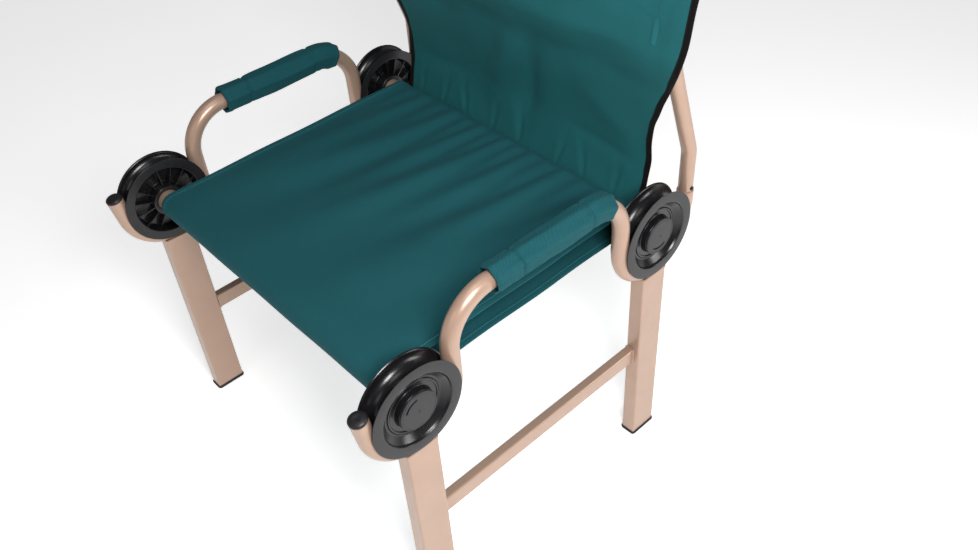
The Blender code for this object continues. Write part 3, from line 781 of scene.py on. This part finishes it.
# ---------------------------------------------------------------- seat
def seat_stations():
    """The loop from the middle of its lower layer: (y, z, outward (y, z), distance in front of the rear).

    The last value is negative round the rear roller, and None on the lower layer.
    """
    radius, low, high = SEAT_LOOP_R, AXLE_Z - SEAT_LOOP_R, AXLE_Z + SEAT_LOOP_R
    span, half = REAR_Y - FRONT_Y, (REAR_Y - FRONT_Y) / 2
    centre = (REAR_Y + FRONT_Y) / 2
    stations = [(centre + half * i / 45, low, (0.0, -1.0), None) for i in range(45)]
    for i in range(28):
        turn = math.radians(270 + 180 * i / 28)
        out = (math.cos(turn), math.sin(turn))
        gone = -radius * math.pi * (28 - i) / 28
        stations.append((REAR_Y + radius * out[0], AXLE_Z + radius * out[1], out, gone))
    stations += [(REAR_Y - span * i / 100, high, (0.0, 1.0), span * i / 100) for i in range(100)]
    for i in range(28):
        turn = math.radians(90 + 180 * i / 28)
        out = (math.cos(turn), math.sin(turn))
        gone = span + radius * math.pi * i / 28
        stations.append((FRONT_Y + radius * out[0], AXLE_Z + radius * out[1], out, gone))
    stations += [(FRONT_Y + half * i / 45, low, (0.0, -1.0), None) for i in range(45)]
    return stations


def seat_folds(x, gone):
    """Height of the seat's folds: many small ones at the rear roller that run together forwards.

    Over the rear pole the cloth can't sink below the pole's surface.
    """
    edge = 1 - (abs(x) / SEAT_HALF) ** 8
    drift = x + 0.10 * max(0.0, gone)
    fine = math.sin(2 * math.pi * drift / 0.033 + 1.5 * math.sin(19 * drift))
    fine *= 0.0019 * (bell(gone - 0.02, 0.085) if gone > 0 else bell(gone - 0.02, 0.030))
    pulled = x + 0.16 * max(0.0, gone)
    mid = math.sin(2 * math.pi * pulled / 0.072 + 1.1 * math.sin(12 * pulled) + 0.6)
    mid *= 0.0036 * bell(gone - 0.13, 0.11)
    broad = math.sin(2 * math.pi * (x + 0.22 * max(0.0, gone)) / 0.165 + 0.9)
    broad *= 0.0046 * bell(gone - 0.25, 0.14)
    over_pole = POLE_R - math.sqrt(max(0.0, POLE_R ** 2 - max(0.0, gone) ** 2))
    return max(edge * (fine + mid + broad), -0.0007 - over_pole)


HEM_STITCH = 0.0090         # the stitch line, in from the seat's edge


def hem_columns(half):
    """Places across the cloth: close together at both hems, then evenly spread."""
    near = (0.0, 0.0003, 0.0012, 0.0030, 0.0060, 0.0080, 0.0086, 0.0090, 0.0094, 0.0100, 0.0120, 0.0126,
            0.0130, 0.0140)
    inner = half - 0.0180
    even = [-inner + 2 * inner * i / 96 for i in range(97)]
    return [-half + d for d in near] + even + [half - d for d in reversed(near)]


def hem_thickness(inset):
    """Half the cloth's thickness, doubled in the hem, pinched at its edge and at its stitch line."""
    plain, double = 0.00065, 0.00105
    half = double + (plain - double) * ramp(inset, 0.0122, 0.0130)
    half -= 0.00030 * bell(inset - HEM_STITCH, 0.0005)
    return half * (0.45 + 0.55 * ramp(inset, -0.0002, 0.0012))


def seat_point(x, station, layer):
    """Point of the seat's cloth. layer is 1 on the outside of the loop and -1 on the inside."""
    y, z, out, gone = station
    inset = SEAT_HALF - abs(x)
    lift = layer * hem_thickness(inset)
    if gone is None:
        share = min(1.0, abs(y - (FRONT_Y + REAR_Y) / 2) / ((REAR_Y - FRONT_Y) / 2))
        lift += 0.0016 * (1 - share ** 2) * math.cos(x * 5.5)
        lift += 0.0003 * math.sin(x * 61 + y * 9) * (1 - share)
    else:
        lift += seat_folds(x, gone)
    wave = 0.0007 * math.sin(34 * y + 1.3 * z) * ramp(abs(x), 0.20, SEAT_HALF)
    return Vector((x + SEAT_SHIFT + wave, y + out[0] * lift, z + out[1] * lift))


def build_seat():
    columns, stations = hem_columns(SEAT_HALF), seat_stations()
    rings = [[seat_point(x, s, 1) for x in columns] + [seat_point(x, s, -1) for x in reversed(columns)]
             for s in stations]
    bm = bmesh.new()
    loft(bm, rings, closed=True)
    seat = finish_piece("seat_cloth_loop", bm, SEAT_CLOTH, "frame", ["seat_sling"], 60.0)
    lines = []
    for edge in (-1, 1):
        x = edge * (SEAT_HALF - HEM_STITCH)
        for layer in (1, -1):
            lines.append([seat_point(x, s, layer) for s in stations + stations[:1]])
    threads = build_stitches("seat_stitches", lines, TEAL_THREAD, "frame", 0.0030, 0.0012)
    return seat, threads


def build_stitches(name, lines, mat, body, length, gap):
    """Short slim dashes of thread along lines of points."""
    bm = bmesh.new()
    for line in lines:
        reach, travelled, start = 0.0, 0.0, None
        for here, there in zip(line, line[1:]):
            step = (there - here).length
            while reach <= travelled + step:
                point = here.lerp(there, (reach - travelled) / step)
                if start is None:
                    start = point
                    reach += length
                else:
                    add_dash(bm, start, point)
                    start = None
                    reach += gap
            travelled += step
    return finish_piece(name, bm, mat, body)


def add_dash(bm, start, end, radius=0.00042):
    stations = [(start, radius * 0.35), (start.lerp(end, 0.15), radius), (start.lerp(end, 0.85), radius),
                (end, radius * 0.35)]
    along = (end - start).normalized()
    up = Vector((1.0, 0.0, 0.0)) if abs(along.x) < 0.9 else Vector((0.0, 0.0, 1.0))
    side = (up - along * up.dot(along)).normalized()
    other = along.cross(side)
    loft(bm, [ring_about(point, thick, side, other, 6) for point, thick in stations])


# ---------------------------------------------------------------- back
def back_outline():
    """Middle of the back panel and its half width, as (y, z, half): slack, then along the posts."""
    outline = [(REAR_Y + BACK_FOOT_BEHIND, AXLE_Z, BACK_FOOT_HALF)]
    outline += [(REAR_Y + back, AXLE_Z + rise, half) for rise, back, half in BACK_SLACK]
    outline.append((*on_upper_post(0.004, BACK_OFFSET), BACK_TOP_HALF - 0.0020))
    outline += [(*on_upper_post(along, BACK_OFFSET), BACK_TOP_HALF)
                for along in (0.028, 0.075, 0.130, POST_END)]
    return outline


def smooth_line(points, spacing):
    """A Catmull-Rom curve through points of any size, with about one point every `spacing`."""
    line = []
    for i in range(len(points) - 1):
        p0, p1, p2, p3 = (Vector(points[min(max(j, 0), len(points) - 1)]) for j in (i - 1, i, i + 1, i + 2))
        pieces = max(2, round((p2 - p1).length / spacing))
        knots = [max(1e-6, (b - a).length) ** 0.5 for a, b in ((p0, p1), (p1, p2), (p2, p3))]
        t0 = (p2 - p1) if i == 0 else ((p1 - p0) / knots[0] - (p2 - p0) / (knots[0] + knots[1])
                                       + (p2 - p1) / knots[1]) * knots[1]
        t1 = (p2 - p1) if i == len(points) - 2 else ((p2 - p1) / knots[1] - (p3 - p1) / (knots[1] + knots[2])
                                                     + (p3 - p2) / knots[2]) * knots[1]
        for k in range(pieces):
            t = k / pieces
            line.append(p1 * (2 * t ** 3 - 3 * t ** 2 + 1) + t0 * (t ** 3 - 2 * t ** 2 + t)
                        + p2 * (3 * t ** 2 - 2 * t ** 3) + t1 * (t ** 3 - t ** 2))
    line.append(Vector(points[-1]))
    return line


def back_stations(spacing=0.004):
    """(y, z, half, forward (y, z)) up the back."""
    line = smooth_line(back_outline(), spacing)
    places = [Vector((0.0, p[0], p[1])) for p in line]
    return [(p[0], p[1], p[2], (-way.z, way.y)) for p, way in zip(line, directions(places))]


# soft ridges and valleys of the back: (start, end, half width, height), in (x, height above the axles)
BACK_RIDGES = (
    ((0.046, 0.190), (0.008, 0.018), 0.017, -0.0036), ((0.012, 0.205), (-0.052, 0.085), 0.024, 0.0056),
    ((0.268, 0.288), (0.110, 0.196), 0.030, -0.0046), ((0.250, 0.350), (0.095, 0.265), 0.030, 0.0026),
    ((0.117, 0.080), (0.251, 0.070), 0.010, -0.0011), ((-0.120, 0.085), (-0.240, 0.072), 0.013, -0.0011),
    ((-0.268, 0.288), (-0.140, 0.190), 0.030, -0.0036), ((-0.225, 0.345), (-0.080, 0.270), 0.032, 0.0022),
    ((-0.020, 0.330), (0.060, 0.240), 0.034, 0.0020), ((0.150, 0.150), (0.235, 0.110), 0.022, 0.0014),
    ((0.274, 0.315), (0.236, 0.327), 0.0030, 0.0006), ((0.274, 0.315), (0.296, 0.305), 0.0030, 0.0006),
    ((0.276, 0.317), (0.290, 0.345), 0.0050, 0.0005), ((-0.274, 0.315), (-0.240, 0.330), 0.0030, 0.0012),
)
BACK_DEPTH = 1.7            # deepens every ridge above
# small gathers at the foot of the back: (x, lean, height up the panel)
BACK_GATHERS = ((0.010, -0.10, 0.075), (0.095, 0.25, 0.050), (0.150, -0.20, 0.055), (0.211, 0.10, 0.050),
                (-0.052, 0.15, 0.045), (-0.118, -0.20, 0.055), (-0.176, 0.20, 0.048), (-0.232, 0.05, 0.040))


def along_segment(x, rise, start, end):
    """Distance from a segment, and a fade that is 1 beside its middle and 0.35 at its ends."""
    way = Vector(end) - Vector(start)
    off = Vector((x, rise)) - Vector(start)
    share = off.dot(way) / way.length_squared
    clamped = min(1.0, max(0.0, share))
    return (off - way * clamped).length, 0.35 + 0.65 * math.sin(math.pi * clamped)


def back_relief(x, rise, half):
    """Height of the slack folds, in front of the panel's middle."""
    lift = 0.0
    for start, end, width, height in BACK_RIDGES:
        distance, fade = along_segment(x, rise, start, end)
        if distance < 3 * width:
            lift += BACK_DEPTH * height * fade * bell(distance, width)
    for centre, lean, height in BACK_GATHERS:
        off = x - centre - lean * (rise - 0.010)
        spread = 0.0045 + 0.19 * max(0.0, rise - 0.010)
        if abs(off) < 3.5 * spread and rise < 2 * height:
            fade = bell(rise - 0.012, height * 0.75)
            lift += fade * (0.0010 * bell(abs(off) - spread, spread * 0.7)
                            - 0.0026 * bell(off, spread * 0.60))
    over_post = half - 0.0265
    lift += 0.0007 * bell(abs(x) - over_post, 0.0060) * ramp(rise, 0.21, 0.27)
    slack = ramp(rise, 0.0, 0.06) * (1 - ramp(rise, 0.20, 0.34))
    lift += 0.0009 * slack * math.sin(x * 23 + 2.0 * math.sin(rise * 17))
    lift += 0.0005 * math.sin(x * 47 + rise * 31 + 1.2)
    return lift * ramp(half - abs(x), 0.010, 0.045) * (0.25 + 0.75 * ramp(rise, -0.002, 0.02))


def back_point(x, station, layer):
    y, z, half, forward = station
    lift = back_relief(x, z - AXLE_Z, half) + layer * 0.00060
    return Vector((x, y + forward[0] * lift, z + forward[1] * lift))


def build_back():
    stations = back_stations()
    steps = 120
    rings = []
    for s in stations:
        reach = s[2] - 0.0035
        columns = [reach * (2 * i / steps - 1) for i in range(steps + 1)]
        rings.append([back_point(x, s, 1) for x in columns]
                     + [back_point(x, s, -1) for x in reversed(columns)])
    bm = bmesh.new()
    loft(bm, rings)
    panel = finish_piece("back_cloth_panel", bm, BACK_CLOTH, "frame", ["back_panel"], 60.0)
    return panel, stations


def build_binding(side, sign, stations):
    """Tape folded over the panel's edge, a little wavy, with a row of stitches on each face."""
    line, widths = [], []
    travelled = 0.0
    for i, (y, z, half, forward) in enumerate(stations):
        if i:
            travelled += math.dist((y, z), stations[i - 1][:2])
        slack = 1 - 0.6 * ramp(z - AXLE_Z, 0.22, 0.30)
        sway = 0.0005 * slack * (math.sin(travelled * 88) + 0.5 * math.sin(travelled * 151 + 1.1))
        bow = 0.0006 * slack * math.sin(travelled * 74 + (0.8 if sign > 0 else 2.1))
        x = sign * (half - BINDING_WIDTH / 2 + sway)
        line.append((Vector((x, y + forward[0] * bow, z + forward[1] * bow)), Vector((0.0, *forward))))
        widths.append(BINDING_WIDTH / 2 * (1 + 0.03 * math.sin(travelled * 105 + 0.4)))
    section = rounded_rectangle(1.0, 1.0, 0.55, 4)
    rings = []
    for (centre, forward), half_width in zip(line, widths):
        ring = []
        for u, w in section:
            pillow = 1 - 0.14 * u * u
            off = Vector((sign * u * half_width, 0.0, 0.0))
            ring.append(centre + off + forward * (w * pillow * BINDING_THICK / 2))
        rings.append(ring)
    bm = bmesh.new()
    loft(bm, rings)
    tape = finish_piece(f"back_binding_{side}_tape", bm, TAPE, "frame", [f"back_binding_{side}"], 50.0)
    rows = []
    for layer in (1, -1):
        rows.append([centre + Vector((-sign * half_width * 0.62, 0.0, 0.0))
                     + forward * layer * BINDING_THICK * 0.475
                     for (centre, forward), half_width in zip(line, widths)])
    threads = build_stitches(f"back_binding_{side}_stitches", rows, BLACK_THREAD, "frame", 0.0028, 0.0014)
    return tape, threads


def build_pocket(side, sign):
    """Rear layer of a post's pocket: from a seam inboard, round the post, to the binding."""
    inboard, outboard = (-0.0270, 0.0131), (BACK_TOP_HALF - AXLE_X - 0.0075, 0.0131)

    def touch(point, turn):
        angle = math.atan2(point[1], point[0])
        return angle + turn * math.acos(SLEEVE_R / math.hypot(*point))

    first, last = touch(inboard, 1), touch(outboard, -1) + 2 * math.pi
    angles = [first + (last - first) * i / 24 for i in range(25)]
    wrap = [(SLEEVE_R * math.cos(angle), SLEEVE_R * math.sin(angle)) for angle in angles]
    line = [(inboard[0] - 0.006, inboard[1]), inboard] + wrap
    line += [outboard, (outboard[0] + 0.003, outboard[1])]
    rings = []
    distances = [SLEEVE_START + (POST_END - 0.002 - SLEEVE_START) * i / 60 for i in range(61)]
    for distance in distances:
        ripple = 0.0003 * math.sin(distance * 140) + 0.0002 * math.sin(distance * 330 + 1)
        outer, inner = [], []
        for i, (u, w) in enumerate(line):
            ahead = Vector(line[min(i + 1, len(line) - 1)]) - Vector(line[max(i - 1, 0)])
            normal = Vector((ahead.y, -ahead.x)).normalized()
            on_post = 1 if 2 <= i <= len(line) - 3 else 0
            loose = 0.00045 + (0.0006 + ripple) * (1 - on_post) * 0.2
            for layer, rows in ((loose, outer), (-0.00045, inner)):
                off = layer + on_post * 0.0004
                du, dw = u + normal.x * off, w + normal.y * off
                y, z = on_upper_post(distance, dw)
                rows.append(Vector((sign * (AXLE_X + du), y, z)))
        rings.append(outer + inner[::-1])
    bm = bmesh.new()
    loft(bm, rings)
    return finish_piece(f"back_pocket_{side}", bm, BACK_CLOTH, "frame", [f"back_sleeve_{side}"], 50.0)


def build_back_seams(stations):
    """Stitches of the two pockets and of the top hem, on both faces of the panel."""
    lines = []
    upper = [s for s in stations if s[1] - AXLE_Z > POST_KINK_RISE[1] + 0.020]
    for sign in SIDES.values():
        lines.append([back_point(sign * (AXLE_X - 0.0275), s, 1.2) for s in upper])
    hem = upper[-5]
    width = hem[2] - 0.012
    for layer in (1.4, -1.4):
        lines.append([back_point(-width + 2 * width * i / 160, hem, layer) for i in range(161)])
    return build_stitches("back_stitches", lines, DARK_THREAD, "frame", 0.0030, 0.0012)


# ---------------------------------------------------------------- arm pads
def pad_line():
    """Centre line of a pad along the armrest and into its rear bend, as (y, z, distance)."""
    start = FRONT_Y + PAD_START
    straight = REAR_BEND_Y - start
    points = [(start + straight * i / 60, ARM_Z) for i in range(60)]
    points += arc(REAR_BEND_Y, ARM_Z - BEND_R, BEND_R, 90, 90 - PAD_WRAP, 2.5)
    line, gone = [], 0.0
    for i, point in enumerate(points):
        if i:
            gone += math.dist(point, points[i - 1])
        line.append((*point, gone))
    return line


def pad_radius(turn, gone, length, seed):
    """Outer radius of a pad: foam facets under the cloth, two cross seams, and puckers beside them.

    seed tells the two pads apart: the sitter's right one is fuller, and its seams are shallower.
    """
    facets = 7
    step = 2 * math.pi / facets
    twisted = turn + 0.5 * seed + 0.10 * math.sin(gone * 21 + seed)
    off = (twisted % step) - step / 2
    facet = math.cos(step / 2) / math.cos(off)
    radius = PAD_R * (0.94 + 0.95 * (facet / math.cos(step / 2) - 1.0))
    seam = 0.0
    for place in (PAD_SEAM, length - PAD_SEAM):
        seam = max(seam, bell(gone - place, 0.0018))
        pucker = math.sin(turn * 13 + place * 90 + seed) * bell(gone - place, 0.010)
        radius += 0.00045 * pucker
    radius += 0.0012 * (seed > 2) - (0.0034 if seed < 2 else 0.0024) * seam
    panel = (gone - PAD_SEAM) / (length - 2 * PAD_SEAM)
    radius += 0.0006 * math.sin(math.pi * min(1.0, max(0.0, panel)))
    radius += (0.0004 * math.sin(3 * turn + gone * 37 + seed)
               + 0.00025 * math.sin(5 * turn - gone * 83 + 2 * seed))
    ending = min(gone, length - gone)
    return radius - 0.0010 * bell(ending, 0.0016) + 0.0004 * bell(ending - 0.006, 0.004)


def build_pad(side, sign):
    line = pad_line()
    length = line[-1][2]
    places = [Vector((sign * AXLE_X, y, z)) for y, z, _ in line]
    ways = directions(places)
    steps = 56
    across = Vector((1.0, 0.0, 0.0))

    def ring(i, radius_at):
        other = ways[i].cross(across)
        return [places[i] + radius_at(2 * math.pi * k / steps)
                * (math.cos(2 * math.pi * k / steps) * across + math.sin(2 * math.pi * k / steps) * other)
                for k in range(steps)]

    seed = 1.0 if sign > 0 else 2.3
    outer = [ring(i, lambda turn, gone=gone: pad_radius(turn, gone, length, seed))
             for i, (_, _, gone) in enumerate(line)]
    inner = []
    for i, (_, _, gone) in enumerate(line):
        ending = min(gone, length - gone)
        filled = ramp(ending, 0.006, 0.018)
        inner.append(ring(i, lambda turn, gone=gone, filled=filled: (1 - filled)
                          * (pad_radius(turn, gone, length, seed) - 0.0019) + filled * PAD_BORE))
    bm = bmesh.new()
    loft(bm, outer + inner[::-1], closed=True)
    pad = finish_piece(f"arm_pad_{side}_sleeve", bm, PAD_CLOTH, "frame", [f"arm_pad_{side}"], 60.0)
    lines = []
    for place in (PAD_SEAM, length - PAD_SEAM, 0.0050, length - 0.0050):
        i = min(range(len(line)), key=lambda j: abs(line[j][2] - place))
        circle = ring(i, lambda turn: pad_radius(turn, line[i][2], length, seed) + 0.0001)
        lines.append(circle + circle[:1])
    build_stitches(f"arm_pad_{side}_stitches", lines, DARK_THREAD, "frame", 0.0028, 0.0012)


# ---------------------------------------------------------------- studio
def build_floor():
    """Wide pale floor with a faint grain."""
    mat, tree, shader = new_material("studio_floor", (0.90, 0.90, 0.90), 0.65, Specular_IOR_Level=0.10,
                                     Emission_Color=(1.0, 1.0, 1.0, 1.0), Emission_Strength=0.60)
    soft = noise(tree, object_place(tree), 3.0)
    tree.links.new(tinted(tree, soft, (0.89, 0.89, 0.89), (0.91, 0.91, 0.91)), shader.inputs["Base Color"])
    bm = bmesh.new()
    reach = 12.0
    signs = ((-1, -1), (1, -1), (1, 1), (-1, 1))
    bm.faces.new([bm.verts.new((reach * x, reach * y, -CLEAR)) for x, y in signs])
    mesh = bpy.data.meshes.new("studio_floor")
    bm.to_mesh(mesh)
    bm.free()
    mesh.materials.append(mat)
    floor = bpy.data.objects.new("studio_floor", mesh)
    bpy.context.scene.collection.objects.link(floor)


def area_light(name, location, target, size, power):
    light = bpy.data.lights.new(name, "AREA")
    light.shape = "RECTANGLE"
    light.size, light.size_y = size
    light.energy = power
    lamp = bpy.data.objects.new(name, light)
    bpy.context.scene.collection.objects.link(lamp)
    lamp.location = location
    lamp.rotation_euler = (Vector(target) - Vector(location)).to_track_quat("-Z", "Y").to_euler()


def build_studio():
    scene = bpy.context.scene
    world = bpy.data.worlds.new("studio_world")
    world.use_nodes = True
    world.node_tree.nodes["Background"].inputs["Color"].default_value = (1.0, 1.0, 1.0, 1.0)
    world.node_tree.nodes["Background"].inputs["Strength"].default_value = 0.12
    scene.world = world
    target = (0.0, 0.0, AXLE_Z)
    area_light("top_softbox", (0.20, -0.30, 2.00), target, (0.8, 0.8), 4.5)
    area_light("key_softbox", (1.05, -0.40, 1.35), target, (0.45, 0.45), 19.5)
    area_light("rim_softbox", (1.30, 0.90, 0.80), (0.3, 0.2, 0.30), (0.5, 0.5), 7.0)
    area_light("fill_softbox", (0.3, -1.8, 1.3), target, (0.8, 0.8), 2.5)
    scene.view_settings.view_transform = "Standard"


def build_camera():
    """The photograph's place and viewing angle."""
    azimuth, elevation, roll = 0.8686, 0.7266, -0.0750
    away = Vector((math.sin(azimuth) * math.cos(elevation), -math.cos(azimuth) * math.cos(elevation),
                   math.sin(elevation)))
    right = (-away).cross(Vector((0.0, 0.0, 1.0))).normalized()
    down = (-away).cross(right)
    c, s = math.cos(roll), math.sin(roll)
    right, down = c * right - s * down, s * right + c * down
    place = Vector((0.9492, FRONT_Y - 0.4041, AXLE_Z + 0.8652))
    data = bpy.data.cameras.new("photo_camera")
    data.sensor_width, data.lens, data.clip_start = 36.0, 34.631, 0.01
    camera = bpy.data.objects.new("photo_camera", data)
    bpy.context.scene.collection.objects.link(camera)
    columns = Matrix((right, -down, away)).transposed().to_4x4()
    camera.matrix_world = Matrix.Translation(place) @ columns
    bpy.context.scene.camera = camera


# ---------------------------------------------------------------- the chair
build_camera()
for side_name, side_sign in SIDES.items():
    build_side_tube(side_name, side_sign)
    build_tip_cap(side_name, side_sign)
    build_rail(side_name)
    build_post(side_name, side_sign)
    build_button(side_name, side_sign)
    build_pad(side_name, side_sign)
for end_name, end_y in ENDS.items():
    build_pole(end_name, end_y)
    for side_name, side_sign in SIDES.items():
        build_leg(end_name, end_y, side_name, side_sign)
        build_foot(end_name, end_y, side_name, side_sign)
        build_disc(end_name, end_y, side_name, side_sign)
        build_hub_cap(end_name, end_y, side_name, side_sign)

seat_loop, seat_threads = build_seat()

back_cloth, back_rows = build_back()
trims = [build_back_seams(back_rows)]
for side_name, side_sign in SIDES.items():
    trims += build_binding(side_name, side_sign, back_rows)
    trims.append(build_pocket(side_name, side_sign))

for side_name in SIDES:
    spring = bpy.data.objects[f"button_spring_{side_name}"]
    for slot in spring.material_slots:
        slot.material = STEEL

build_floor()
build_studio()
